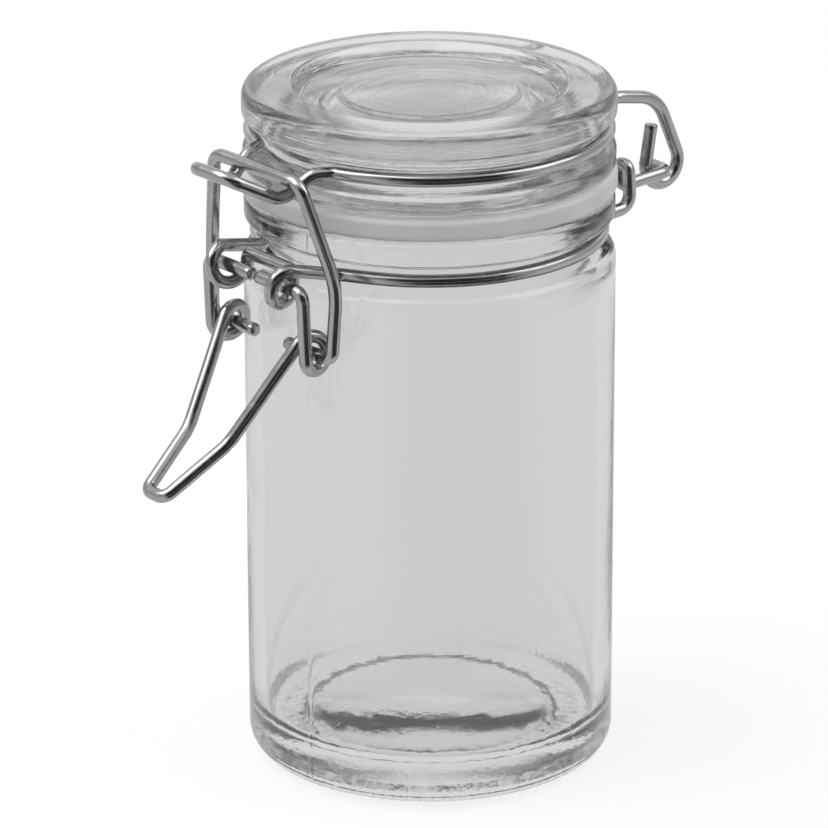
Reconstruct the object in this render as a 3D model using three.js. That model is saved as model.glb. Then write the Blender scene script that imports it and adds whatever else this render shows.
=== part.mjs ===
// Clip-top glass jar: a straight glass jar, a flat glass lid and four bent wires that hinge and latch it.
// Millimetres, +Z up. The jar stands on z = 0, its latch faces -Y and its hinge faces +Y.
import * as THREE from 'three';

// Frame: the jar's axis stands this far behind the middle of the object's bounding box.
const JAR_Y = 4.4;

// Jar
const BODY_R = 25;
const WALL = 2.4;
const HEEL_R = 3.6;
const BEARING_IN_R = 16.4;
const PUSH_UP = 0.9;
const FLOOR_Z = 5;
const FLOOR_DOME = 3.4;
const FLOOR_R = 19.5;
const INNER_HEEL_R = 2.6;
const SHOULDER_Z = 70.6;
const NECK_R = 22.05;
const NECK_Z0 = 73.3;
const NECK_Z1 = 75.8;
const RIM_R = 24.9;
const RIM_TOP = 80.2;
const MOUTH_R = 19.8;

// Gasket
const GASKET_R = 25.2;
const GASKET_IN_R = 20.4;
const GASKET_Z0 = 80.45;
const GASKET_Z1 = 83.35;

// Lid
const LID_Z0 = 83.6;
const LID_TOP = 94.8;
const LID_R = 25.1;
const BAND_R = 25.0;
const GROOVE_R = 22.7;
const PLUG_R = 19.3;
const PLUG_Z = 79.4;
const PLUG_IN_R = 16.3;
const HOLLOW_Z = 89.4;
const RECESS_R = 18.4;
const RECESS_Z = 93.1;
const DISC_R = 11.7;
const DISC_Z = 93.6;

// Wire
const WIRE_R = 0.9;
const WIRE_SIDES = 8;

// Neck band
const BAND_RING_R = 23.25;
const BAND_Z = 74.6;
const EYE_R = 2.4;
const EYE_W0 = 4.8;
const EYE_W1 = 7.0;
const BRIDGE_A = 185;
const BRIDGE_LEAD = 1.6;

// Latch: the lever's pivot, the link's pivot and the link's bar, as distance in front of the axis and height
const PIVOT_A = [29.8, 74.1];
const PIVOT_B = [27.2, 65.0];
const BAR_T = [29.4, 88.7];
const LEVER_EYE_R = 2.2;
const LEVER_IN_W = 7.7;
const LEVER_OUT_W = 9.9;
const LINK_W = 12.6;
const LEVER_PIN_W = 0.8;
const LINK_PIN_W = 3.5;

// Lid bail
const BAIL_RING_R = 23.95;
const BAIL_Z = 88.6;
const HOOK_W = 7.5;
const HOOK_CENTRE = [35.1, 78.1];
const HOOK_R = 2.95;

// Hinge: pin axis behind the jar's axis and its height
const HINGE = [34.45, 77.5];
const HINGE_BAR_W = 9.6;
const HINGE_PIN_W = 4.6;
const LOOP_W = 11.7;

const SEGMENTS = 64;

// A wire's centreline, sampled once at each of its points.
class WireLine extends THREE.Curve {
  constructor(points) {
    super();
    this.points = points;
  }

  getPoint(t, target = new THREE.Vector3()) {
    const n = this.points.length - 1;
    const i = Math.min(Math.floor(t * n + 1e-9), n - 1);
    return target.lerpVectors(this.points[i], this.points[i + 1], t * n - i);
  }

  getPointAt(u, target) {
    return this.getPoint(u, target);
  }

  getTangent(t, target = new THREE.Vector3()) {
    const n = this.points.length - 1;
    const i = Math.round(t * n);
    const before = this.points[Math.max(i, 1)].clone().sub(this.points[Math.max(i, 1) - 1]).normalize();
    const k = Math.min(i, n - 1);
    const after = this.points[k + 1].clone().sub(this.points[k]).normalize();
    return target.copy(before).add(after).normalize();
  }

  getTangentAt(u, target) {
    return this.getTangent(u, target);
  }
}

// Points of a polyline whose corners are rounded: each corner is [point, bend radius].
function bent(corners) {
  const out = [corners[0][0]];
  for (let i = 1; i < corners.length - 1; i++) {
    const [p, radius] = corners[i];
    const a = corners[i - 1][0].clone().sub(p).normalize();
    const b = corners[i + 1][0].clone().sub(p).normalize();
    const turn = Math.PI - a.angleTo(b);
    if (turn < 0.02 || !radius) {
      out.push(p.clone());
      continue;
    }
    const back = radius * Math.tan(turn / 2);
    const middle = a.clone().add(b).normalize();
    const centre = p.clone().addScaledVector(middle, radius / Math.cos(turn / 2));
    const from = p.clone().addScaledVector(a, back).sub(centre);
    const to = p.clone().addScaledVector(b, back).sub(centre);
    const steps = Math.max(1, Math.ceil(turn / 0.42));
    for (let k = 0; k <= steps; k++) {
      const s = k / steps;
      const v = from.clone().multiplyScalar(Math.sin((1 - s) * turn));
      v.addScaledVector(to, Math.sin(s * turn)).divideScalar(Math.sin(turn));
      out.push(centre.clone().add(v));
    }
  }
  out.push(corners[corners.length - 1][0]);
  return out;
}

// Latch side: w across, r in front of the axis, z up. Hinge side: the same, behind the axis.
const front = (w, r, z) => new THREE.Vector3(w, -r, z);
const rear = (w, r, z) => new THREE.Vector3(w, r, z);

// Points of an eye, a coil about an axis along X: angles in degrees from outward, counterclockwise.
function coil(side, centre, radius, a0, a1, w0, w1) {
  const steps = Math.ceil(Math.abs(a1 - a0) / 24);
  return Array.from({ length: steps + 1 }, (_, k) => {
    const s = k / steps;
    const a = THREE.MathUtils.degToRad(a0 + (a1 - a0) * s);
    return side(w0 + (w1 - w0) * s, centre[0] + radius * Math.cos(a), centre[1] + radius * Math.sin(a));
  });
}

// Points on a level ring, from angle a0 to a1 measured from the latch side, in degrees.
function ring(radius, z, a0, a1) {
  const steps = Math.ceil((a1 - a0) / 7);
  return Array.from({ length: steps + 1 }, (_, k) => {
    const a = THREE.MathUtils.degToRad(a0 + ((a1 - a0) * k) / steps);
    return new THREE.Vector3(radius * Math.sin(a), -radius * Math.cos(a), z);
  });
}

// Half of a wire, from the middle plane to its end, joined to its mirror image.
function mirrored(half) {
  const other = half.slice(1).reverse().map((p) => new THREE.Vector3(-p.x, p.y, p.z));
  return [...other, ...half];
}

function wireGeometry(points) {
  const section = new THREE.Shape();
  for (let k = 0; k < WIRE_SIDES; k++) {
    const a = (2 * Math.PI * k) / WIRE_SIDES;
    if (k === 0) section.moveTo(WIRE_R, 0);
    else section.lineTo(WIRE_R * Math.cos(a), WIRE_R * Math.sin(a));
  }
  const path = new WireLine(points);
  return new THREE.ExtrudeGeometry(section, { steps: points.length - 1, extrudePath: path, bevelEnabled: false });
}

// Quarter or part arc of a profile: centre (r, z), radius, angles in degrees.
function arc(r, z, radius, a0, a1, steps) {
  return Array.from({ length: steps + 1 }, (_, k) => {
    const a = THREE.MathUtils.degToRad(a0 + ((a1 - a0) * k) / steps);
    return new THREE.Vector2(r + radius * Math.cos(a), z + radius * Math.sin(a));
  });
}

const at = (r, z) => new THREE.Vector2(r, z);

function turned(profile) {
  const g = new THREE.LatheGeometry(profile, SEGMENTS);
  g.rotateX(Math.PI / 2);
  return g;
}

// Jar: outside from the push-up to the rim, then inside down to the floor, which swells towards the middle.
const INNER_R = BODY_R - WALL;
const floorAt = (r) => at(r, FLOOR_Z + FLOOR_DOME * (1 - (r / FLOOR_R) ** 4));
const jarProfile = [
  at(0, PUSH_UP),
  at(BEARING_IN_R - PUSH_UP, PUSH_UP),
  at(BEARING_IN_R, 0),
  ...arc(BODY_R - HEEL_R, HEEL_R, HEEL_R, -90, 0, 5),
  at(BODY_R, SHOULDER_Z),
  ...arc(BODY_R - 1.7, SHOULDER_Z, 1.7, 30, 72, 2),
  at(22.7, NECK_Z0 - 0.7),
  at(NECK_R, NECK_Z0),
  at(NECK_R, NECK_Z1),
  at(22.5, NECK_Z1 + 0.5),
  at(24.3, NECK_Z1 + 0.8),
  at(RIM_R, NECK_Z1 + 1.6),
  at(RIM_R, RIM_TOP - 1.6),
  ...arc(RIM_R - 1.2, RIM_TOP - 1.2, 1.2, 20, 90, 3),
  at(MOUTH_R + 0.8, RIM_TOP),
  at(MOUTH_R, RIM_TOP - 0.8),
  at(MOUTH_R, 73.4),
  at(MOUTH_R + 0.8, 71.6),
  at(INNER_R - 0.8, 69.4),
  at(INNER_R, 67.4),
  ...arc(INNER_R - INNER_HEEL_R, FLOOR_Z + INNER_HEEL_R, INNER_HEEL_R, 0, -90, 5),
  floorAt(17.6),
  floorAt(15.2),
  floorAt(12.2),
  floorAt(8),
  floorAt(0),
];

// Gasket: a flat ring with a rounded outer edge.
const gasketProfile = [
  at(GASKET_IN_R, GASKET_Z0),
  at(GASKET_R - 0.7, GASKET_Z0),
  at(GASKET_R, GASKET_Z0 + 0.8),
  at(GASKET_R, GASKET_Z1 - 0.8),
  at(GASKET_R - 0.7, GASKET_Z1),
  at(GASKET_IN_R, GASKET_Z1),
  at(GASKET_IN_R, GASKET_Z0),
];

// Lid: underside from the hollow to the plug and the seat, then up the side and over the top.
const lidProfile = [
  at(0, HOLLOW_Z),
  at(12.6, HOLLOW_Z - 0.3),
  at(15.2, HOLLOW_Z - 1.6),
  at(PLUG_IN_R - 0.1, HOLLOW_Z - 4),
  at(PLUG_IN_R, PLUG_Z + 0.8),
  at(PLUG_IN_R + 0.8, PLUG_Z),
  at(PLUG_R - 0.9, PLUG_Z),
  at(PLUG_R - 0.2, PLUG_Z + 0.9),
  at(PLUG_R, LID_Z0),
  at(BAND_R - 0.8, LID_Z0),
  at(BAND_R, LID_Z0 + 0.8),
  at(BAND_R, 85.7),
  at(BAND_R - 0.5, 86.5),
  at(23.3, 87.1),
  at(GROOVE_R, 87.9),
  at(GROOVE_R, BAIL_Z + 0.7),
  at(23.3, BAIL_Z + 1.5),
  at(24.4, 90.6),
  at(LID_R, 91.7),
  at(LID_R, 93.2),
  ...arc(LID_R - 1.6, LID_TOP - 1.6, 1.6, 20, 90, 3),
  at(RECESS_R + 0.7, LID_TOP),
  at(RECESS_R, LID_TOP - 0.4),
  at(RECESS_R - 1.3, RECESS_Z + 0.3),
  at(RECESS_R - 2.1, RECESS_Z),
  at(DISC_R + 0.5, RECESS_Z),
  at(DISC_R, DISC_Z),
  at(0, DISC_Z),
];

// Neck band: bridge between the front eyes, eye, strand to the groove, ring, rear loop, hinge bar, pin.
const eyeIn = coil(front, PIVOT_A, EYE_R, BRIDGE_A, 450, EYE_W0, EYE_W1);
const leadA = THREE.MathUtils.degToRad(BRIDGE_A);
const bridgeR = PIVOT_A[0] + EYE_R * Math.cos(leadA) + BRIDGE_LEAD * Math.sin(leadA);
const bridgeZ = PIVOT_A[1] + EYE_R * Math.sin(leadA) - BRIDGE_LEAD * Math.cos(leadA);
const bandRing = ring(BAND_RING_R, BAND_Z, 29, 147);
const rearLoop = bent([
  [bandRing[bandRing.length - 1], 0],
  [rear(LOOP_W + 0.2, 20.6, BAND_Z), 1.2],
  [rear(LOOP_W + 0.1, 25.5, 74.9), 1.9],
  [rear(LOOP_W, 25.2, 80.7), 1],
  [rear(HINGE_BAR_W, 25.3, 80.5), 1],
  [rear(HINGE_BAR_W, 25.7, HINGE[1] - 0.4), 1.3],
  [rear(HINGE_BAR_W, ...HINGE), 1.6],
  [rear(HINGE_PIN_W, ...HINGE), 0],
]);
const bandHalf = [
  ...bent([
    [front(0, bridgeR, bridgeZ), 0],
    [front(EYE_W0, bridgeR, bridgeZ), 0.9],
    [eyeIn[0], 0],
  ]),
  ...eyeIn.slice(1, -1),
  ...bent([
    [eyeIn[eyeIn.length - 1], 0],
    [front(8.0, 22.2, BAND_Z), 2.2],
    [bandRing[0], 0],
  ]),
  ...bandRing.slice(1, -1),
  ...rearLoop,
];

// Lid bail: tongue, notch, strand to the groove, ring, hinge leg, hook, stub.
const bailRing = ring(BAIL_RING_R, BAIL_Z, 24, 156);
const hook = coil(rear, HOOK_CENTRE, HOOK_R, 24, -193, HOOK_W, HOOK_W);
const bailHalf = [
  ...bent([
    [front(0, 37.2, 89.7), 0],
    [front(3.7, 37.2, 89.7), 2.7],
    [front(5.4, 29.6, 85.7), 2.4],
    [front(6.6, 25.4, BAIL_Z), 2.4],
    [front(7.7, 22.8, BAIL_Z), 2.2],
    [bailRing[0], 0],
  ]),
  ...bailRing.slice(1, -1),
  ...bent([
    [bailRing[bailRing.length - 1], 0],
    [rear(HOOK_W, 22.9, BAIL_Z), 1.8],
    [rear(HOOK_W, 27.1, BAIL_Z + 0.4), 5],
    [rear(HOOK_W, 34.1, 87.6), 6],
    [hook[0], 0],
  ]),
  ...hook.slice(1),
  rear(HOOK_W, 33.1, 83.8),
];

// Lever: handle tip, kink, eye round the link's pin, short leg, pin in the neck band's eye.
const leverEye = coil(front, PIVOT_B, LEVER_EYE_R, 36, 358, LEVER_IN_W, LEVER_OUT_W);
const leverHalf = [
  ...bent([
    [front(0, 46.9, 47.6), 0],
    [front(1.9, 46.9, 47.6), 1.5],
    [front(4.2, 38.0, 53.6), 6],
    [leverEye[0], 0],
  ]),
  ...leverEye.slice(1, -1),
  ...bent([
    [leverEye[leverEye.length - 1], 0],
    [front(LEVER_OUT_W, ...PIVOT_A), 1.5],
    [front(LEVER_PIN_W, ...PIVOT_A), 0],
  ]),
];

// Link: bar over the tongue, bowed leg, pin in the lever's eye.
const linkHalf = bent([
  [front(0, ...BAR_T), 0],
  [front(8.9, ...BAR_T), 2.6],
  [front(13.1, 26.7, 75), 14],
  [front(LINK_W, ...PIVOT_B), 1.5],
  [front(LINK_PIN_W, ...PIVOT_B), 0],
]);

const glass = { color: 0xd3d5d4, roughness: 0.05, metalness: 0 };
const steel = { color: 0xb4b5b4, roughness: 0.25, metalness: 1 };
const silicone = { color: 0xb4b4b2, roughness: 0.55, metalness: 0 };

const jar = new THREE.Group();
jar.name = 'clip_top_jar';

const assembly = new THREE.Group();
assembly.position.set(0, JAR_Y, 0);
jar.add(assembly);

function addPiece(name, geometry, look) {
  const mesh = new THREE.Mesh(geometry, new THREE.MeshStandardMaterial(look));
  mesh.name = name;
  assembly.add(mesh);
}

addPiece('jar_body', turned(jarProfile), glass);
addPiece('lid', turned(lidProfile), glass);
addPiece('gasket', turned(gasketProfile), silicone);
addPiece('neck_band', wireGeometry(mirrored(bandHalf)), steel);
addPiece('lid_bail', wireGeometry(mirrored(bailHalf)), steel);
addPiece('latch_lever', wireGeometry(mirrored(leverHalf)), steel);
addPiece('latch_link', wireGeometry(mirrored(linkHalf)), steel);

export default jar;
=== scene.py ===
import math

import bpy
from mathutils import Matrix, Vector, noise


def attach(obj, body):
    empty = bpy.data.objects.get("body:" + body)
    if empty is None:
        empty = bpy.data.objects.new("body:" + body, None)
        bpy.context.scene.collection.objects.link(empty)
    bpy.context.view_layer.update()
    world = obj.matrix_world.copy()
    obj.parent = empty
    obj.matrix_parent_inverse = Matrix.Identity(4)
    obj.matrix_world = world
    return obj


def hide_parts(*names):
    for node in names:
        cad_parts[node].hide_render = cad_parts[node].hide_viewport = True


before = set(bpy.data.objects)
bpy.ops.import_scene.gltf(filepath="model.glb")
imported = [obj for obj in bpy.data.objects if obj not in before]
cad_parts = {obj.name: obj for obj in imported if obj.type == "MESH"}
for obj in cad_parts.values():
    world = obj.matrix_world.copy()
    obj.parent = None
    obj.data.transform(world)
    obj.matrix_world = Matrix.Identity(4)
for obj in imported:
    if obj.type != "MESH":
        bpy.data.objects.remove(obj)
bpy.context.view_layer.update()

# Clip-top glass jar. The jar's sizes are millimetres and become metres when a mesh is made.
# Fades in the glass and sizes in the studio are metres.
MM = 0.001
JAR_Y = 4.4

# Jar
BODY_R = 25.0
WALL = 2.4
HEEL_R = 3.6
BEARING_IN_R = 16.4
PUSH_UP = 0.9
FLOOR_Z = 5.0
FLOOR_DOME = 3.4
FLOOR_R = 19.5
INNER_HEEL_R = 2.6
SHOULDER_Z = 70.6
SHOULDER_LIP = (22.9, 72.9)
NECK_R = 22.05
NECK_Z0 = 73.3
NECK_Z1 = 75.8
RIM_R = 24.9
RIM_TOP = 80.2
MOUTH_R = 19.8
MOUTH_Z = 73.0
INNER_SHOULDER_Z = 69.6
INNER_SHOULDER_BEND = 6
INNER_R = BODY_R - WALL
FLOOR_ROWS = 10
FLOOR_POWER = 4
FLOOR_BEND = 4

# Mould seams on the glass, with a width in radians, and the knurled bearing ring with its grain
SEAM_A = math.radians(9.5)
SEAM_H = 0.045
SEAM_WIDTH = 0.012
KNURLS = 116
KNURL_H = 0.09
KNURL_TOP = 1.2
KNURL_IN_R = BEARING_IN_R - 0.4
GRAIN_H = 0.14
FLOOR_GRAIN_IN_R = FLOOR_R - 2
FLOOR_GRAIN_TOP = FLOOR_Z + 3
RING_GRAIN_H = 2.5 * GRAIN_H
RING_EDGE_R = BEARING_IN_R - 0.6
RING_EDGE_REACH = 0.9

# Unevenness of the pressed pieces: H is a height; a pair is a length of wave and a shift of the noise
JAR_OUTER_H = 0.03
JAR_INNER_H = 0.10
JAR_WAVES = (14, 3.1)
FLOOR_H = 0.05
FLOOR_WAVES = (9, 8.7)
FLOOR_GRAIN = (0.9, 5.1)
RING_GRAIN = (1.1, 9.3)
KNURL_DRIFT = 2.5
KNURL_DRIFT_WAVES = (2.5, 6.2)
KNURL_BREAK = 1.2
KNURL_BREAK_WAVES = (0.9, 4.4)
LID_H = 0.03
LID_SIDE_WAVES = (7, 5.3)
LID_TOP_WAVES = (6, 1.9)
LID_RIDGE_H = 0.012
LID_RIDGES = 1.4
LID_RIDGE_SWAY = 0.3
GASKET_SIDE_H = 0.03
GASKET_SIDE_WAVES = (5, 2.2)
GASKET_TOP_H = 0.05
GASKET_TOP_WAVES = (3, 7.7)

# Mesh detail: how many angles make one turn, and the longest run of an outline
JAR_TURN = 288
JAR_STEP = 2.0
JAR_BASE_STEP = 0.8
JAR_BASE_TOP = 7
LID_TURN = 240
LID_STEP = 0.5
GASKET_TURN = 192
GASKET_STEP = 0.6
ON_AXIS = 1e-6

# Steps of bends in radians, and of coils and rings in degrees; a bend under STRAIGHT is left as a corner
ARC_STEP = math.radians(7)
STRAIGHT = 0.02
COIL_STEP = 8
RING_STEP = 2.5

# Gasket
GASKET_R = 25.2
GASKET_IN_R = 20.4
GASKET_Z0 = 80.45
GASKET_Z1 = 83.35

# Lid
LID_Z0 = 83.6
LID_TOP = 94.8
LID_R = 25.1
BAND_R = 25.0
GROOVE_R = 22.7
PLUG_R = 19.3
PLUG_Z = 79.4
PLUG_IN_R = 16.3
HOLLOW_Z = 89.4
RECESS_R = 18.4
RECESS_Z = 93.1
DISC_R = 11.7
DISC_Z = 93.6
HOLLOW_R = 15.4
BAND_TOP = 86.4
GROOVE_Z0 = 87.3
FLARE_Z = 90.7

# Wires: W is a place across the jar, A is in degrees, and other pairs are a distance out and a height.
# The lever turns about PIVOT_A, the link about PIVOT_B and the lid about HINGE.
WIRE_R = 0.9
WIRE_SIDES = 20
WIRE_STEP = 0.7
WAVE = 0.04
WAVE_LENGTH = 6.0
WAVE_SEED = 5
CUT_EDGE = 0.14
MAP_LENGTH = 0.01
PIVOT_A = (29.8, 74.1)
PIVOT_B = (27.2, 65.0)
HINGE = (34.45, 77.5)

# Neck band
EYE_R = 2.4
EYE_W0 = 4.8
EYE_W1 = 7.0
EYE_END_A = 450
BRIDGE_A = 185
BRIDGE_LEAD = 1.6
BAND_STRAND_W = 8.0
BAND_STRAND_R = 22.2
BAND_RING_R = 23.25
BAND_RING_A = (29, 147)
BAND_Z = 74.6
LOOP_W = 11.7
LOOP_IN_R = 20.6
LOOP_FOOT = (25.5, 74.9)
LOOP_TOP = (25.2, 80.7)
HINGE_BAR_W = 9.6
HINGE_BAR_TOP = (25.3, 80.5)
HINGE_BAR_R = 25.7
HINGE_PIN_W = 4.6

# Lid bail
TONGUE_TIP = (37.2, 89.7)
TONGUE_W = 3.7
NOTCH = (29.6, 85.7)
NOTCH_W = 5.4
BAIL_STRAND_W0 = 6.6
BAIL_STRAND_R0 = 25.4
BAIL_STRAND_W1 = 7.7
BAIL_STRAND_R1 = 22.8
BAIL_RING_R = 23.95
BAIL_RING_A = (24, 156)
BAIL_Z = 88.6
HOOK_W = 7.5
HOOK_LEG_R0 = 22.9
HOOK_LEG_R1 = 27.1
HOOK_KNEE = (34.1, 87.6)
HOOK_CENTRE = (35.1, 78.1)
HOOK_R = 2.95
HOOK_A = (24, -193)
HOOK_END = (33.1, 83.8)

# Latch lever and link, and the nicks that a bending tool has left in the lever
HANDLE_TIP = (46.9, 47.6)
HANDLE_TIP_W = 1.9
HANDLE_KINK = (38.0, 53.6)
HANDLE_KINK_W = 4.2
LEVER_EYE_R = 2.2
LEVER_EYE_A = (36, 358)
LEVER_IN_W = 7.7
LEVER_OUT_W = 9.9
LEVER_PIN_W = 0.8
NICK_DEPTH = 0.16
NICK_REACH = 0.5
NICK_SIDE = (0, 0.5, -0.866)
BAR_T = (29.4, 88.7)
LINK_BAR_W = 8.9
LINK_BOW = (26.7, 75)
LINK_BOW_W = 13.1
LINK_W = 12.6
LINK_PIN_W = 3.5

# Glass: noise scales per metre, and fades between two heights (Z) or two distances from the axis (R)
GLASS_IOR = 1.5
GLASS_SHADOW = 0.92
GLASS_WAVES = 220
SCUFFS = 900
SCUFF_ROUGHNESS = 0.06
STREAKS_WIDE = 1500
STREAKS_FINE = 4500
STREAK_X = 0.05
STREAK_FADE_Z = (0.066, 0.072)
STREAK_BELOW = 0.12
STIPPLES = 1500
STIPPLE_FADE_Z = (0.006, 0.013)
STIPPLE_FADE_R = (0.013, 0.018)
STIPPLE_MIDDLE = 0.22
BEARING_FROST = 0.22
FROST_FADE_Z = (0.0008, 0.0018)
FROST_FADE_R = (0.0142, 0.0155)

# Steel and silicone: two tones each, noise scales and a range of roughness
TONE_ENDS = (0.3, 0.7)
STEEL_TONES = ((0.40, 0.40, 0.395, 1), (0.52, 0.52, 0.515, 1))
STEEL_LINES = (16, 12, 1)
STEEL_MARKS = 700
STEEL_ROUGHNESS = (0.14, 0.3)
SILICONE_TONES = ((0.70, 0.70, 0.695, 1), (0.77, 0.77, 0.765, 1))
SILICONE_CLOUDS = 180
SILICONE_GRAIN = 2200
SILICONE_ROUGHNESS = (0.38, 0.55)
SILICONE_DEPTH = 0.002

# Camera: where it stands round the jar's axis, and how it points
CAMERA_AZIMUTH = 50.0
CAMERA_DISTANCE = 735.1
CAMERA_HEIGHT = 317.3
CAMERA_PITCH = 20.144
CAMERA_YAW = 0.168
CAMERA_ROLL = -0.156
CAMERA_FOCAL_PX = 5768.3
IMAGE_PX = 828
SENSOR_MM = 36.0

# Light: what the world gives to all surfaces, and what metal and glass see of world and floor; 1 is white
FILL = 0.5
PALE = 0.72
FLOOR_GLOW = 0.52
FLOOR_GREY = 0.55
FLOOR_HALF = 3.0
AIM_Z = 0.05

# Lamps: name, (azimuth, elevation, distance), side in metres, power in watts
LAMPS = (
    ("key_soft", (-30, 60, 1.2), 1.1, 7),
    ("fill_soft", (140, 45, 1.2), 0.8, 3),
)

# Cards that metal and glass mirror: name, (azimuth, elevation, distance), size in metres, grey
DARK_FRONT = ("dark_front", (62, 25, 1.2), (1.9, 1.1), 0.03)
LIGHT_BACK = ("light_back", (230, 19, 1.3), (2.6, 0.7), 0.85)
# Cards beyond the jar that are seen through the glass, in the base above all
SEEN_THROUGH_CARDS = (
    ("dark_back", (230, 38, 1.4), (2.6, 0.66), 0.02),
    ("dark_back_left", (184, 46, 1.4), (1.0, 1.3), 0.02),
    ("dark_back_right", (276, 46, 1.4), (1.0, 1.3), 0.02),
    ("grey_left", (155, 10, 1.5), (1.6, 0.9), 0.22),
    ("grey_right", (305, 10, 1.5), (1.6, 0.9), 0.22),
)
# Cards on the floor on the camera's side, which upright wires mirror: name, first and last azimuth, grey
FLOOR_CARDS = (
    ("floor_card_a", 22, 28, 0.55),
    ("floor_card_b", 28, 34, 0.4),
    ("floor_card_c", 34, 40, 0.22),
    ("floor_card_d", 40, 100, 0.05),
    ("floor_card_e", 100, 106, 0.22),
    ("floor_card_f", 106, 112, 0.4),
    ("floor_card_g", 112, 118, 0.55),
)
FLOOR_CARD_RADII = (0.07, 1.3)
FLOOR_CARD_PARTS = 24
CARD_Z = 0.002
WALL_RADIUS = 1.6
WALL_HEIGHT = 1.3
WALL_GREY = 0.5
WALL_PARTS = 48


def rounded(corners):
    """Points of a polyline whose corners are rounded: each corner is (point, bend radius)."""
    out = [corners[0][0]]
    for (before, _), (p, radius), (after, _) in zip(corners, corners[1:], corners[2:]):
        a = (before - p).normalized()
        b = (after - p).normalized()
        turn = math.pi - a.angle(b)
        if radius == 0 or turn < STRAIGHT:
            out.append(p.copy())
            continue
        back = radius * math.tan(turn / 2)
        centre = p + (a + b).normalized() * (radius / math.cos(turn / 2))
        start = p + a * back - centre
        end = p + b * back - centre
        steps = max(2, math.ceil(turn / ARC_STEP))
        for k in range(steps + 1):
            s = k / steps
            share = start * math.sin((1 - s) * turn) + end * math.sin(s * turn)
            out.append(centre + share / math.sin(turn))
    out.append(corners[-1][0])
    return out


def front(w, r, z):
    return Vector((w, -r, z))


def rear(w, r, z):
    return Vector((w, r, z))


def coil(side, centre, radius, a0, a1, w0, w1):
    """Points of an eye about an axis along X: angles in degrees from outward."""
    steps = math.ceil(abs(a1 - a0) / COIL_STEP)
    points = []
    for k in range(steps + 1):
        s = k / steps
        a = math.radians(a0 + (a1 - a0) * s)
        w = w0 + (w1 - w0) * s
        points.append(side(w, centre[0] + radius * math.cos(a), centre[1] + radius * math.sin(a)))
    return points


def ring(radius, z, a0, a1):
    """Points on a level ring, angles in degrees from the latch side."""
    steps = math.ceil((a1 - a0) / RING_STEP)
    angles = [math.radians(a0 + (a1 - a0) * k / steps) for k in range(steps + 1)]
    return [Vector((radius * math.sin(a), -radius * math.cos(a), z)) for a in angles]


def mirrored(half):
    """Half of a wire, from the middle plane to its end, joined to its mirror image."""
    return [Vector((-p.x, p.y, p.z)) for p in reversed(half[1:])] + half


def new_piece(name, vertices, faces, uvs=None):
    """A smooth mesh object from points in millimetres about the jar's axis."""
    mesh = bpy.data.meshes.new(name)
    mesh.from_pydata([(v[0] * MM, (v[1] + JAR_Y) * MM, v[2] * MM) for v in vertices], [], faces)
    mesh.polygons.foreach_set("use_smooth", [True] * len(mesh.polygons))
    if uvs:
        layer = mesh.uv_layers.new(name="wire_map")
        for loop, corner in zip(layer.data, uvs):
            loop.uv = corner
    mesh.validate()
    mesh.update()
    piece = bpy.data.objects.new(name, mesh)
    bpy.context.scene.collection.objects.link(piece)
    return piece


def lathe(name, outline, angles, uneven, closed=False):
    """A turned solid. The outline runs from axis to axis, or is closed on itself; uneven moves a point."""
    vertices, rows = [], []
    for r, z in outline:
        if r < ON_AXIS:
            rows.append([len(vertices)] * len(angles))
            vertices.append(Vector((0, 0, z)))
            continue
        rows.append(list(range(len(vertices), len(vertices) + len(angles))))
        for a in angles:
            dr, dz = uneven(a, r, z)
            vertices.append(Vector(((r + dr) * math.sin(a), -(r + dr) * math.cos(a), z + dz)))
    faces = []
    pairs = list(zip(rows, rows[1:]))
    if closed:
        pairs.append((rows[-1], rows[0]))
    for low, high in pairs:
        for k in range(len(angles)):
            n = (k + 1) % len(angles)
            corners = []
            for index in (low[k], low[n], high[n], high[k]):
                if index not in corners:
                    corners.append(index)
            if len(corners) > 2:
                faces.append(corners)
    return new_piece(name, vertices, faces)


def resampled(points):
    """The line with its long runs split, and a hand-bent wire's slight waviness."""
    out = [points[0]]
    for p, q in zip(points, points[1:]):
        parts = max(1, math.ceil((q - p).length / WIRE_STEP))
        out += [p.lerp(q, k / parts) for k in range(1, parts + 1)]
    return [p + noise.noise_vector(p / WAVE_LENGTH) * WAVE for p in out]


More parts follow.
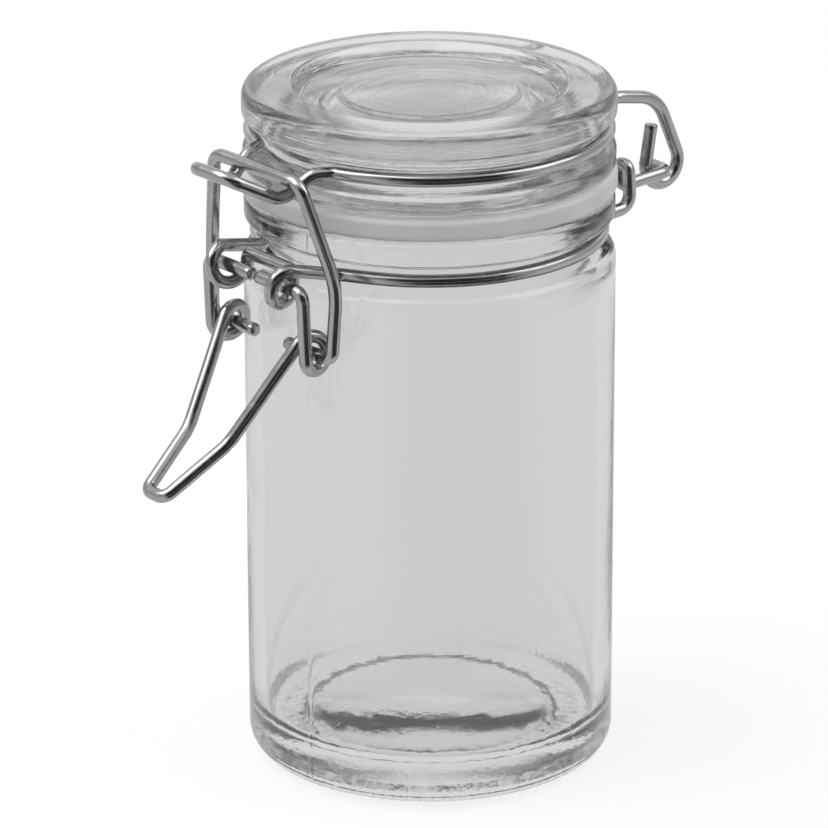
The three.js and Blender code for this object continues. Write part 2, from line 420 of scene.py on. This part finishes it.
def sweep(name, points, kinks=()):
    """A round wire along a line of points, with cut ends and pressed tool marks at its kinks."""
    points = resampled(points)
    tangents = []
    for i in range(len(points)):
        tangents.append((points[min(i + 1, len(points) - 1)] - points[max(i - 1, 0)]).normalized())
    side = tangents[0].orthogonal().normalized()
    rings, lengths, run = [], [], 0.0
    for i, (p, t) in enumerate(zip(points, tangents)):
        side = (side - t * side.dot(t)).normalized()
        run += (p - points[i - 1]).length if i else 0.0
        rings.append((p, side.copy(), t.cross(side), WIRE_R))
        lengths.append(run)
    first, last = rings[0], rings[-1]
    rings.insert(0, (first[0] - tangents[0] * CUT_EDGE, first[1], first[2], WIRE_R - CUT_EDGE))
    rings.append((last[0] + tangents[-1] * CUT_EDGE, last[1], last[2], WIRE_R - CUT_EDGE))
    lengths = [-CUT_EDGE] + lengths + [run + CUT_EDGE]
    vertices = []
    for p, u, v, radius in rings:
        for k in range(WIRE_SIDES):
            a = 2 * math.pi * k / WIRE_SIDES
            out = u * math.cos(a) + v * math.sin(a)
            vertices.append(p + out * (radius - tool_mark(p, out, kinks)))
    faces, uvs = [], []
    for i in range(len(rings) - 1):
        for k in range(WIRE_SIDES):
            n = (k + 1) % WIRE_SIDES
            a, b = i * WIRE_SIDES, (i + 1) * WIRE_SIDES
            faces.append((a + k, a + n, b + n, b + k))
            for row, column in ((i, k), (i, k + 1), (i + 1, k + 1), (i + 1, k)):
                uvs.append((column / WIRE_SIDES, lengths[row] * MAP_LENGTH))
    end = (len(rings) - 1) * WIRE_SIDES
    for start, order in ((0, range(WIRE_SIDES - 1, -1, -1)), (end, range(WIRE_SIDES))):
        faces.append([start + k for k in order])
        uvs += [(k / WIRE_SIDES, lengths[0 if start == 0 else -1] * MAP_LENGTH) for k in order]
    return new_piece(name, vertices, faces, uvs)


def tool_mark(p, out, kinks):
    """How deep a bending tool has pressed into the outer side of the wire near a kink, on both sides."""
    depth = 0.0
    for place, deepest in kinks:
        across = abs(p.x) - place.x
        away = Vector((across, p.y - place.y, p.z - place.z)).length
        facing = max(0.0, out.dot(Vector(NICK_SIDE)))
        depth += deepest * math.exp(-(away / NICK_REACH) ** 2) * facing ** 3
    return depth


# Outlines, as points with a bend radius
def outline(corners):
    return [(p.x, p.y) for p in rounded([(Vector((r, z)), bend) for r, z, bend in corners])]


def floor_point(share):
    """A corner of the domed floor, at a share of its radius."""
    return FLOOR_R * share, FLOOR_Z + FLOOR_DOME * (1 - share ** FLOOR_POWER), FLOOR_BEND


jar_outline = outline([
    (0, PUSH_UP, 0),
    (BEARING_IN_R - PUSH_UP, PUSH_UP, 2.0),
    (BEARING_IN_R, 0, 0.9),
    (BODY_R, 0, HEEL_R),
    (BODY_R, SHOULDER_Z + 1.4, 1.7),
    (*SHOULDER_LIP, 0.7),
    (NECK_R, NECK_Z0 + 0.2, 0.5),
    (NECK_R, NECK_Z1 + 0.2, 0.5),
    (RIM_R, NECK_Z1 + 0.9, 0.8),
    (RIM_R, RIM_TOP, 1.3),
    (MOUTH_R, RIM_TOP, 0.8),
    (MOUTH_R, MOUTH_Z, INNER_SHOULDER_BEND),
    (INNER_R, INNER_SHOULDER_Z, INNER_SHOULDER_BEND),
    (INNER_R, FLOOR_Z, INNER_HEEL_R),
    *[floor_point(k / FLOOR_ROWS) for k in range(FLOOR_ROWS - 1, 0, -1)],
    (0, FLOOR_Z + FLOOR_DOME, 0),
])
gasket_outline = outline([
    (GASKET_IN_R, GASKET_Z0 + 1.4, 0),
    (GASKET_IN_R, GASKET_Z0, 0.25),
    (GASKET_R, GASKET_Z0, 0.75),
    (GASKET_R, GASKET_Z1, 0.75),
    (GASKET_IN_R, GASKET_Z1, 0.25),
    (GASKET_IN_R, GASKET_Z0 + 1.5, 0),
])
lid_outline = outline([
    (0, HOLLOW_Z, 0),
    (HOLLOW_R, HOLLOW_Z - 0.3, 3),
    (PLUG_IN_R, PLUG_Z + 2, 3),
    (PLUG_IN_R, PLUG_Z, 0.8),
    (PLUG_R - 0.1, PLUG_Z, 0.9),
    (PLUG_R, LID_Z0, 0.4),
    (BAND_R, LID_Z0, 0.8),
    (BAND_R, BAND_TOP, 0.9),
    (GROOVE_R, GROOVE_Z0, 0.9),
    (GROOVE_R, BAIL_Z + 1.2, 0.9),
    (LID_R, FLARE_Z, 1.1),
    (LID_R, LID_TOP, 1.7),
    (RECESS_R + 0.2, LID_TOP, 0.8),
    (RECESS_R - 1.5, RECESS_Z, 0.8),
    (DISC_R + 0.6, RECESS_Z, 0.6),
    (DISC_R, DISC_Z, 0.5),
    (0, DISC_Z, 0),
])


def subdivided(points, step):
    """The outline with its long straight runs split; step gives the longest run at a height."""
    out = [points[0]]
    for (r0, z0), (r1, z1) in zip(points, points[1:]):
        parts = max(1, math.ceil(math.hypot(r1 - r0, z1 - z0) / step(z0)))
        out += [(r0 + (r1 - r0) * k / parts, z0 + (z1 - z0) * k / parts) for k in range(1, parts + 1)]
    return out


def waves(a, r, z, kind):
    """Smooth noise over a turned surface, from -1 to 1; its kind is a length and a shift."""
    scale, seed = kind
    return noise.noise(Vector((r * math.sin(a), -r * math.cos(a), z)) / scale + Vector((seed, 0, 0)))


def seam(a, width):
    """1 on the two mould seams, falling to 0 over the width, in radians."""
    nearest = min(abs(math.remainder(a - s, 2 * math.pi)) for s in (SEAM_A, SEAM_A + math.pi))
    return max(0.0, 1 - nearest / width)


def jar_uneven(a, r, z):
    """How far a point of the jar is moved outward and up."""
    inside = r < INNER_R + 0.3 and z > FLOOR_Z - 0.5
    if inside:
        dz = FLOOR_H * waves(a, r, z, FLOOR_WAVES)
        if r > FLOOR_GRAIN_IN_R and z < FLOOR_GRAIN_TOP:
            dz += GRAIN_H * waves(a, r, z, FLOOR_GRAIN)
        return JAR_INNER_H * waves(a, r, z, JAR_WAVES), dz
    dr = JAR_OUTER_H * waves(a, r, z, JAR_WAVES) + SEAM_H * seam(a, SEAM_WIDTH)
    dz = 0.0
    if z < KNURL_TOP and abs(r - RING_EDGE_R) < RING_EDGE_REACH:
        dr += RING_GRAIN_H * waves(a, r, z, RING_GRAIN)
    if z < KNURL_TOP and r > KNURL_IN_R:
        drift = KNURL_DRIFT * waves(a, r, z, KNURL_DRIFT_WAVES)
        stroke = math.sin(KNURLS * a + drift) + KNURL_BREAK * waves(a, r, z, KNURL_BREAK_WAVES)
        dz = KNURL_H * max(0.0, stroke)
    return dr, dz


def lid_uneven(a, r, z):
    """How far a point of the lid is moved outward and up."""
    dr = LID_H * waves(a, r, z, LID_SIDE_WAVES)
    dz = LID_H * waves(a, r, z, LID_TOP_WAVES)
    if r > BAND_R - 0.6 and z > LID_Z0 + 1:
        dr += SEAM_H * seam(a, SEAM_WIDTH)
    if z > RECESS_Z - 0.5 and r > DISC_R:
        sway = Vector((r * LID_RIDGES, LID_RIDGE_SWAY * math.sin(a), LID_RIDGE_SWAY * math.cos(a)))
        dz += LID_RIDGE_H * noise.noise(sway)
    return dr, dz


def gasket_uneven(a, r, z):
    """How far a point of the gasket is moved outward and up."""
    dr = GASKET_SIDE_H * waves(a, r, z, GASKET_SIDE_WAVES)
    return dr, GASKET_TOP_H * waves(a, r, z, GASKET_TOP_WAVES)


def turn(count):
    """Angles of one turn, with closer ones at the mould seams."""
    angles = [2 * math.pi * k / count for k in range(count)]
    for s in (SEAM_A, SEAM_A + math.pi):
        angles += [s + SEAM_WIDTH * k / 2 for k in (-2, -1, 0, 1, 2)]
    return sorted(angles)


jar_rows = subdivided(jar_outline, lambda z: JAR_BASE_STEP if z < JAR_BASE_TOP else JAR_STEP)
lid_rows = subdivided(lid_outline, lambda z: LID_STEP)
gasket_rows = subdivided(gasket_outline, lambda z: GASKET_STEP)
jar = lathe("jar_glass_body", jar_rows, turn(JAR_TURN), jar_uneven)
lid = lathe("lid_glass_body", lid_rows, turn(LID_TURN), lid_uneven)
gasket = lathe("gasket_ring", gasket_rows, turn(GASKET_TURN), gasket_uneven, closed=True)

# The waviness of the wires is drawn from a fixed seed
noise.seed_set(WAVE_SEED)

# Neck band: bridge between the front eyes, eye, strand to the groove, ring, rear loop, hinge bar, pin
eye = coil(front, PIVOT_A, EYE_R, BRIDGE_A, EYE_END_A, EYE_W0, EYE_W1)
lead_a = math.radians(BRIDGE_A)
bridge_r = PIVOT_A[0] + EYE_R * math.cos(lead_a) + BRIDGE_LEAD * math.sin(lead_a)
bridge_z = PIVOT_A[1] + EYE_R * math.sin(lead_a) - BRIDGE_LEAD * math.cos(lead_a)
band_ring = ring(BAND_RING_R, BAND_Z, *BAND_RING_A)
band_half = rounded([
    (front(0, bridge_r, bridge_z), 0),
    (front(EYE_W0, bridge_r, bridge_z), 0.9),
    (eye[0], 0),
])
band_half += eye[1:-1]
band_half += rounded([
    (eye[-1], 0),
    (front(BAND_STRAND_W, BAND_STRAND_R, BAND_Z), 2.2),
    (band_ring[0], 0),
])
band_half += band_ring[1:-1]
band_half += rounded([
    (band_ring[-1], 0),
    (rear(LOOP_W + 0.2, LOOP_IN_R, BAND_Z), 1.2),
    (rear(LOOP_W + 0.1, *LOOP_FOOT), 1.9),
    (rear(LOOP_W, *LOOP_TOP), 1),
    (rear(HINGE_BAR_W, *HINGE_BAR_TOP), 1),
    (rear(HINGE_BAR_W, HINGE_BAR_R, HINGE[1] - 0.4), 1.3),
    (rear(HINGE_BAR_W, *HINGE), 1.6),
    (rear(HINGE_PIN_W, *HINGE), 0),
])
neck_band = sweep("neck_band_wire", mirrored(band_half))

# Lid bail: tongue, notch, strand to the groove, ring, hinge leg, hook, stub
bail_ring = ring(BAIL_RING_R, BAIL_Z, *BAIL_RING_A)
hook = coil(rear, HOOK_CENTRE, HOOK_R, *HOOK_A, HOOK_W, HOOK_W)
bail_half = rounded([
    (front(0, *TONGUE_TIP), 0),
    (front(TONGUE_W, *TONGUE_TIP), 2.7),
    (front(NOTCH_W, *NOTCH), 2.4),
    (front(BAIL_STRAND_W0, BAIL_STRAND_R0, BAIL_Z), 2.4),
    (front(BAIL_STRAND_W1, BAIL_STRAND_R1, BAIL_Z), 2.2),
    (bail_ring[0], 0),
])
bail_half += bail_ring[1:-1]
bail_half += rounded([
    (bail_ring[-1], 0),
    (rear(HOOK_W, HOOK_LEG_R0, BAIL_Z), 1.8),
    (rear(HOOK_W, HOOK_LEG_R1, BAIL_Z + 0.4), 5),
    (rear(HOOK_W, *HOOK_KNEE), 6),
    (hook[0], 0),
])
bail_half += hook[1:] + [rear(HOOK_W, *HOOK_END)]
lid_bail = sweep("lid_bail_wire", mirrored(bail_half))

# Lever: handle tip, kink, eye round the link's pin, short leg, pin in the neck band's eye
lever_eye = coil(front, PIVOT_B, LEVER_EYE_R, *LEVER_EYE_A, LEVER_IN_W, LEVER_OUT_W)
lever_half = rounded([
    (front(0, *HANDLE_TIP), 0),
    (front(HANDLE_TIP_W, *HANDLE_TIP), 1.5),
    (front(HANDLE_KINK_W, *HANDLE_KINK), 6),
    (lever_eye[0], 0),
])
lever_half += lever_eye[1:-1]
lever_half += rounded([
    (lever_eye[-1], 0),
    (front(LEVER_OUT_W, *PIVOT_A), 1.5),
    (front(LEVER_PIN_W, *PIVOT_A), 0),
])
lever_kinks = ((front(HANDLE_KINK_W, *HANDLE_KINK), NICK_DEPTH),)
lever = sweep("latch_lever_wire", mirrored(lever_half), lever_kinks)

# Link: bar over the tongue, bowed leg, pin in the lever's eye
link_half = rounded([
    (front(0, *BAR_T), 0),
    (front(LINK_BAR_W, *BAR_T), 2.6),
    (front(LINK_BOW_W, *LINK_BOW), 14),
    (front(LINK_W, *PIVOT_B), 1.5),
    (front(LINK_PIN_W, *PIVOT_B), 0),
])
link = sweep("latch_link_wire", mirrored(link_half))


# Materials
def material(name):
    made = bpy.data.materials.new(name)
    made.use_nodes = True
    return made, made.node_tree.nodes, made.node_tree.links, made.node_tree.nodes["Principled BSDF"]


def turned_place(nodes, links):
    """Object coordinates; (distance from the axis, height, a little of x); that distance; the height."""
    place = nodes.new("ShaderNodeTexCoord")
    centred = nodes.new("ShaderNodeVectorMath")
    centred.operation = "SUBTRACT"
    centred.inputs[1].default_value = (0, JAR_Y * MM, 0)
    links.new(place.outputs["Object"], centred.inputs[0])
    flat = nodes.new("ShaderNodeVectorMath")
    flat.operation = "MULTIPLY"
    flat.inputs[1].default_value = (1, 1, 0)
    links.new(centred.outputs[0], flat.inputs[0])
    reach = nodes.new("ShaderNodeVectorMath")
    reach.operation = "LENGTH"
    links.new(flat.outputs[0], reach.inputs[0])
    split = nodes.new("ShaderNodeSeparateXYZ")
    links.new(centred.outputs[0], split.inputs[0])
    small = math_node(nodes, links, "MULTIPLY", split.outputs["X"], STREAK_X)
    joined = nodes.new("ShaderNodeCombineXYZ")
    links.new(reach.outputs["Value"], joined.inputs["X"])
    links.new(split.outputs["Z"], joined.inputs["Y"])
    links.new(small, joined.inputs["Z"])
    return place.outputs["Object"], joined.outputs[0], reach.outputs["Value"], split.outputs["Z"]


def math_node(nodes, links, operation, first, second):
    """A Math node; each input is an output socket or a number."""
    made = nodes.new("ShaderNodeMath")
    made.operation = operation
    for value, socket in ((first, made.inputs[0]), (second, made.inputs[1])):
        if isinstance(value, float):
            socket.default_value = value
        else:
            links.new(value, socket)
    return made.outputs[0]


def noise_at(nodes, links, place, scale, detail=2.0):
    pattern = nodes.new("ShaderNodeTexNoise")
    pattern.inputs["Scale"].default_value = scale
    pattern.inputs["Detail"].default_value = detail
    links.new(place, pattern.inputs["Vector"])
    return pattern.outputs["Fac"]


def spread(nodes, links, value, low, high, to_low, to_high):
    """A value mapped from one range to another and held inside it."""
    mapped = nodes.new("ShaderNodeMapRange")
    for name, number in (("From Min", low), ("From Max", high), ("To Min", to_low), ("To Max", to_high)):
        mapped.inputs[name].default_value = number
    links.new(value, mapped.inputs["Value"])
    return mapped.outputs["Result"]


def bumped(nodes, links, shader, layers):
    """Stack bump layers, each (height, strength, distance), on the shader."""
    normal = None
    for height, strength, distance in layers:
        bump = nodes.new("ShaderNodeBump")
        bump.inputs["Strength"].default_value = strength
        bump.inputs["Distance"].default_value = distance
        links.new(height, bump.inputs["Height"])
        if normal:
            links.new(normal, bump.inputs["Normal"])
        normal = bump.outputs["Normal"]
    links.new(normal, shader.inputs["Normal"])


def two_tone(nodes, links, value, tones):
    """A colour between two tones, by a value between the two ends."""
    ramp = nodes.new("ShaderNodeValToRGB")
    for element, position, tone in zip(ramp.color_ramp.elements, TONE_ENDS, tones):
        element.position = position
        element.color = tone
    links.new(value, ramp.inputs["Fac"])
    return ramp.outputs["Color"]


def glass_material(name, tint, streak, haze, stipple):
    """Clear pressed glass with faint waves, turned streaks, a trace of haze, scuffs and a stippled base."""
    made, nodes, links, shader = material(name)
    shader.inputs["Base Color"].default_value = (tint, tint, tint, 1)
    shader.inputs["Transmission Weight"].default_value = 1.0
    shader.inputs["IOR"].default_value = GLASS_IOR
    place, turned, reach, height = turned_place(nodes, links)
    scuff = noise_at(nodes, links, place, SCUFFS, 4.0)
    rough = spread(nodes, links, scuff, 0.45, 0.75, haze, haze + SCUFF_ROUGHNESS)
    upper = spread(nodes, links, height, *STREAK_FADE_Z, STREAK_BELOW, 1.0)
    wide = math_node(nodes, links, "MULTIPLY", noise_at(nodes, links, turned, STREAKS_WIDE, 3.0), upper)
    fine = math_node(nodes, links, "MULTIPLY", noise_at(nodes, links, turned, STREAKS_FINE, 2.0), upper)
    layers = [
        (noise_at(nodes, links, place, GLASS_WAVES), 0.1, 0.0002),
        (wide, streak, 0.0001),
        (fine, streak, 0.00005),
    ]
    if stipple:
        grain = noise_at(nodes, links, place, STIPPLES, 2.0)
        low = spread(nodes, links, height, *STIPPLE_FADE_Z, 1.0, 0.0)
        outer = spread(nodes, links, reach, *STIPPLE_FADE_R, STIPPLE_MIDDLE, 1.0)
        where = math_node(nodes, links, "MULTIPLY", low, outer)
        layers.append((math_node(nodes, links, "MULTIPLY", grain, where), stipple, 0.0001))
        under = spread(nodes, links, height, *FROST_FADE_Z, BEARING_FROST, 0.0)
        ringed = spread(nodes, links, reach, *FROST_FADE_R, 0.0, 1.0)
        rough = math_node(nodes, links, "ADD", rough, math_node(nodes, links, "MULTIPLY", under, ringed))
    links.new(rough, shader.inputs["Roughness"])
    bumped(nodes, links, shader, layers)
    path = nodes.new("ShaderNodeLightPath")
    clear = nodes.new("ShaderNodeBsdfTransparent")
    clear.inputs["Color"].default_value = (GLASS_SHADOW, GLASS_SHADOW, GLASS_SHADOW, 1)
    mix = nodes.new("ShaderNodeMixShader")
    links.new(path.outputs["Is Shadow Ray"], mix.inputs["Fac"])
    links.new(shader.outputs[0], mix.inputs[1])
    links.new(clear.outputs[0], mix.inputs[2])
    links.new(mix.outputs[0], nodes["Material Output"].inputs["Surface"])
    return made


def steel_material():
    made, nodes, links, shader = material("drawn_steel")
    shader.inputs["Metallic"].default_value = 1.0
    along = nodes.new("ShaderNodeUVMap")
    along.uv_map = "wire_map"
    stretch = nodes.new("ShaderNodeVectorMath")
    stretch.operation = "MULTIPLY"
    stretch.inputs[1].default_value = STEEL_LINES
    links.new(along.outputs["UV"], stretch.inputs[0])
    lines = noise_at(nodes, links, stretch.outputs[0], 1.0, 3.0)
    place = nodes.new("ShaderNodeTexCoord")
    marks = noise_at(nodes, links, place.outputs["Object"], STEEL_MARKS, 3.0)
    links.new(two_tone(nodes, links, lines, STEEL_TONES), shader.inputs["Base Color"])
    links.new(spread(nodes, links, marks, 0.35, 0.75, *STEEL_ROUGHNESS), shader.inputs["Roughness"])
    bumped(nodes, links, shader, ((lines, 0.12, 0.00005), (marks, 0.08, 0.0001)))
    return made


def silicone_material():
    made, nodes, links, shader = material("pale_silicone")
    place = nodes.new("ShaderNodeTexCoord")
    cloud = noise_at(nodes, links, place.outputs["Object"], SILICONE_CLOUDS, 3.0)
    grain = noise_at(nodes, links, place.outputs["Object"], SILICONE_GRAIN, 2.0)
    links.new(two_tone(nodes, links, cloud, SILICONE_TONES), shader.inputs["Base Color"])
    links.new(spread(nodes, links, grain, 0.3, 0.7, *SILICONE_ROUGHNESS), shader.inputs["Roughness"])
    shader.inputs["Subsurface Weight"].default_value = 0.3
    shader.inputs["Subsurface Radius"].default_value = (SILICONE_DEPTH, SILICONE_DEPTH, SILICONE_DEPTH)
    bumped(nodes, links, shader, ((grain, 0.15, 0.00005),))
    return made


jar_glass = glass_material("jar_glass", tint=0.93, streak=0.4, haze=0.0, stipple=0.3)
lid_glass = glass_material("lid_glass", tint=0.99, streak=0.5, haze=0.05, stipple=0.0)
steel = steel_material()
silicone = silicone_material()

DRESSED = (
    (jar, "jar", "jar_body", "jar_glass", jar_glass),
    (lid, "lid", "lid", "lid_glass", lid_glass),
    (gasket, "lid", "gasket", "gasket", silicone),
    (neck_band, "jar", "neck_band", "wire", steel),
    (lid_bail, "lid", "lid_bail", "wire", steel),
    (lever, "lever", "latch_lever", "wire", steel),
    (link, "link", "latch_link", "wire", steel),
)
for piece, body, node, slot, look in DRESSED:
    piece.data.materials.append(look)
    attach(piece, body)
    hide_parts(node)


# Studio: white floor and world, soft lamps, and cards that the metal and glass mirror or show
def ray_kinds(nodes, links):
    """Outputs that are 1 for rays from the camera, and for rays off metal or through glass."""
    path = nodes.new("ShaderNodeLightPath")
    mirrored_rays = math_node(
        nodes, links, "MAXIMUM", path.outputs["Is Glossy Ray"], path.outputs["Is Transmission Ray"])
    return path.outputs["Is Camera Ray"], mirrored_rays


def build_world():
    """White to the camera, pale to metal and glass, and a soft fill for everything else."""
    world = bpy.data.worlds.new("studio")
    bpy.context.scene.world = world
    world.use_nodes = True
    nodes, links = world.node_tree.nodes, world.node_tree.links
    sky = nodes["Background"]
    sky.inputs["Color"].default_value = (1, 1, 1, 1)
    camera, mirror = ray_kinds(nodes, links)
    seen = math_node(nodes, links, "MULTIPLY", camera, 1.0 - FILL)
    shown = math_node(nodes, links, "MULTIPLY", mirror, PALE - FILL)
    both = math_node(nodes, links, "ADD", seen, shown)
    links.new(math_node(nodes, links, "ADD", both, FILL), sky.inputs["Strength"])


def build_floor():
    """White to the camera with the jar's shadow on it, and plain pale to metal and glass."""
    mesh = bpy.data.meshes.new("floor")
    corners = [(x * FLOOR_HALF, y * FLOOR_HALF, 0) for x, y in ((-1, -1), (1, -1), (1, 1), (-1, 1))]
    mesh.from_pydata(corners, [], [(0, 1, 2, 3)])
    floor = bpy.data.objects.new("floor", mesh)
    bpy.context.scene.collection.objects.link(floor)
    made, nodes, links, shader = material("floor_white")
    shader.inputs["Base Color"].default_value = (FLOOR_GREY, FLOOR_GREY, FLOOR_GREY, 1)
    shader.inputs["Roughness"].default_value = 0.9
    shader.inputs["Specular IOR Level"].default_value = 0.0
    shader.inputs["Emission Color"].default_value = (1, 1, 1, 1)
    camera, mirror = ray_kinds(nodes, links)
    links.new(math_node(nodes, links, "MULTIPLY", camera, FLOOR_GLOW), shader.inputs["Emission Strength"])
    plain = nodes.new("ShaderNodeEmission")
    plain.inputs["Strength"].default_value = PALE
    mix = nodes.new("ShaderNodeMixShader")
    links.new(mirror, mix.inputs["Fac"])
    links.new(shader.outputs[0], mix.inputs[1])
    links.new(plain.outputs[0], mix.inputs[2])
    links.new(mix.outputs[0], nodes["Material Output"].inputs["Surface"])
    floor.data.materials.append(made)


def around(azimuth, elevation, distance):
    """A place round the jar, in metres: azimuth 0 is in front of the latch, 90 on the +X side."""
    a, e = math.radians(azimuth), math.radians(elevation)
    flat = distance * math.cos(e)
    return Vector((flat * math.sin(a), -flat * math.cos(a), distance * math.sin(e) + AIM_Z))


def build_lamp(name, stand, side, power):
    """A soft square lamp that aims at the jar and is not seen through glass."""
    data = bpy.data.lights.new(name, "AREA")
    data.shape = "RECTANGLE"
    data.size, data.size_y = side, side
    data.energy = power
    lamp = bpy.data.objects.new(name, data)
    place = around(*stand)
    lamp.location = place
    lamp.rotation_euler = (Vector((0, 0, AIM_Z)) - place).to_track_quat("-Z", "Y").to_euler()
    lamp.visible_transmission = False
    bpy.context.scene.collection.objects.link(lamp)


def dress_card(card, grey, seen_through=False):
    """Finish a card that is mirrored or seen through glass but not seen itself, and lights nothing."""
    made, nodes, links, shader = material(card.name + "_card")
    shader.inputs["Base Color"].default_value = (0, 0, 0, 1)
    shader.inputs["Roughness"].default_value = 1.0
    shader.inputs["Specular IOR Level"].default_value = 0.0
    shader.inputs["Emission Color"].default_value = (1, 1, 1, 1)
    shader.inputs["Emission Strength"].default_value = grey
    card.data.materials.append(made)
    card.visible_camera = False
    card.visible_diffuse = False
    card.visible_shadow = False
    card.visible_transmission = seen_through
    card.visible_glossy = not seen_through
    bpy.context.scene.collection.objects.link(card)


def build_card(name, stand, size, grey, seen_through=False):
    """A flat card that faces the jar."""
    mesh = bpy.data.meshes.new(name)
    w, h = size[0] / 2, size[1] / 2
    mesh.from_pydata([(-w, -h, 0), (w, -h, 0), (w, h, 0), (-w, h, 0)], [], [(0, 1, 2, 3)])
    card = bpy.data.objects.new(name, mesh)
    place = around(*stand)
    card.location = place
    card.rotation_euler = (Vector((0, 0, AIM_Z)) - place).to_track_quat("Z", "Y").to_euler()
    dress_card(card, grey, seen_through)


def build_sector(name, azimuths, radii, grey):
    """A card lying on the floor between two azimuths and two distances, which upright wires mirror."""
    mesh = bpy.data.meshes.new(name)
    count = FLOOR_CARD_PARTS
    vertices = []
    for radius in radii:
        for k in range(count + 1):
            a = math.radians(azimuths[0] + (azimuths[1] - azimuths[0]) * k / count)
            vertices.append((radius * math.sin(a), JAR_Y * MM - radius * math.cos(a), CARD_Z))
    faces = [(k, k + 1, count + 2 + k, count + 1 + k) for k in range(count)]
    mesh.from_pydata(vertices, [], faces)
    dress_card(bpy.data.objects.new(name, mesh), grey)


def build_wall(name, radius, height, grey):
    """A round grey wall about the jar."""
    mesh = bpy.data.meshes.new(name)
    count = WALL_PARTS
    angles = [2 * math.pi * k / count for k in range(count)]
    vertices = [(radius * math.cos(a), radius * math.sin(a), z) for z in (CARD_Z, height) for a in angles]
    faces = [(k, (k + 1) % count, count + (k + 1) % count, count + k) for k in range(count)]
    mesh.from_pydata(vertices, [], faces)
    dress_card(bpy.data.objects.new(name, mesh), grey)


def build_camera():
    heading = math.radians(CAMERA_AZIMUTH + CAMERA_YAW)
    pitch, roll = math.radians(CAMERA_PITCH), math.radians(CAMERA_ROLL)
    right = Vector((math.cos(heading), math.sin(heading), 0))
    level = Vector((-math.sin(heading), math.cos(heading), 0))
    forward = level * math.cos(pitch) - Vector((0, 0, math.sin(pitch)))
    up = level * math.sin(pitch) + Vector((0, 0, math.cos(pitch)))
    x = right * math.cos(roll) + up * math.sin(roll)
    y = up * math.cos(roll) - right * math.sin(roll)
    stand = math.radians(CAMERA_AZIMUTH)
    out = Vector((math.sin(stand), -math.cos(stand), 0)) * CAMERA_DISTANCE
    place = out + Vector((0, JAR_Y, CAMERA_HEIGHT))
    data = bpy.data.cameras.new("camera")
    data.sensor_width = SENSOR_MM
    data.lens = CAMERA_FOCAL_PX / IMAGE_PX * SENSOR_MM
    data.clip_end = 100
    camera = bpy.data.objects.new("camera", data)
    camera.matrix_world = Matrix.Translation(place * MM) @ Matrix((x, y, -forward)).transposed().to_4x4()
    bpy.context.scene.collection.objects.link(camera)
    bpy.context.scene.camera = camera


build_world()
build_floor()
build_camera()
for lamp in LAMPS:
    build_lamp(*lamp)
build_wall("grey_wall", WALL_RADIUS, WALL_HEIGHT, WALL_GREY)
build_card(*DARK_FRONT)
for name, start, end, grey in FLOOR_CARDS:
    build_sector(name, (start, end), FLOOR_CARD_RADII, grey)
build_card(*LIGHT_BACK)
for card in SEEN_THROUGH_CARDS:
    build_card(*card, seen_through=True)
bpy.context.scene.view_settings.view_transform = "Standard"
